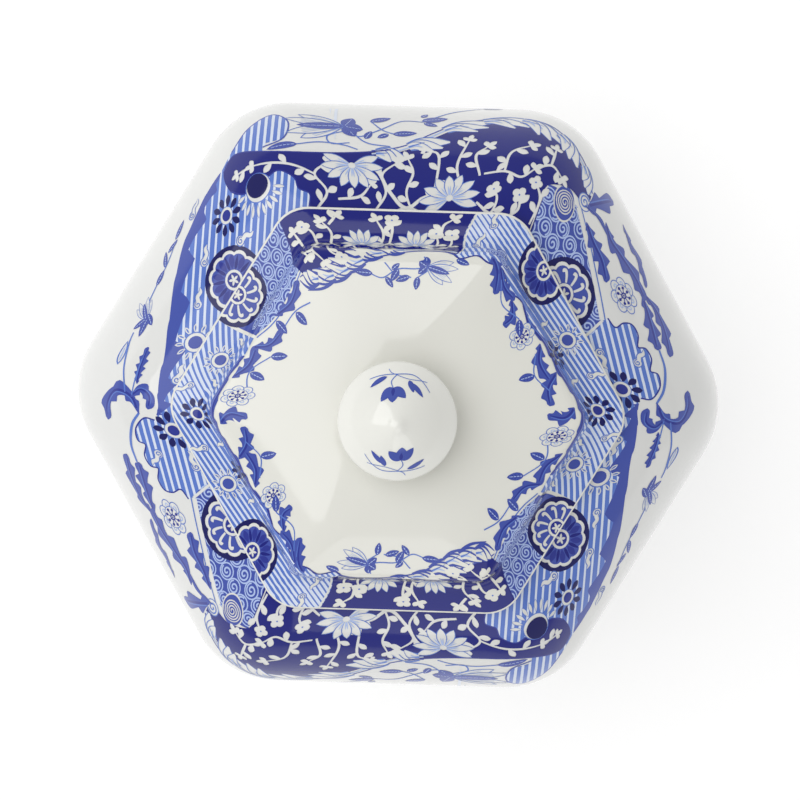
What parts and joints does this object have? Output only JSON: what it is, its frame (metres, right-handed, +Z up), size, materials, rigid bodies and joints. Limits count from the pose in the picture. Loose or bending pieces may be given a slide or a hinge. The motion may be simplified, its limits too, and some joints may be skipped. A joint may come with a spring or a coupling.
{
  "type": "sugar bowl",
  "caption": "Hexagonal lidded sugar bowl in glazed blue-and-white earthenware, with a lift-off domed lid and a pointed bud knob.",
  "frame": {"origin": "centre of the foot ring's resting face", "axes": "+Z up along the bowl's axis; two flat sides face +Y and -Y, two corners point along +X and -X"},
  "size_m": [0.129, 0.1166, 0.1077],
  "materials": {
    "printed_glaze": "high-gloss clear glaze over white earthenware with a cobalt blue printed border",
    "knob_glaze": "high-gloss clear glaze over white earthenware with two small blue sprigs"
  },
  "bodies": {
    "bowl": {"bowl": "printed_glaze"},
    "lid": {"lid": "printed_glaze", "lid_knob": "knob_glaze"}
  },
  "joints": [
    {"name": "lid_lift", "type": "slide", "parent": "bowl", "child": "lid", "axis": [0, 0, 1], "range_m": [0, 0.05]}
  ]
}
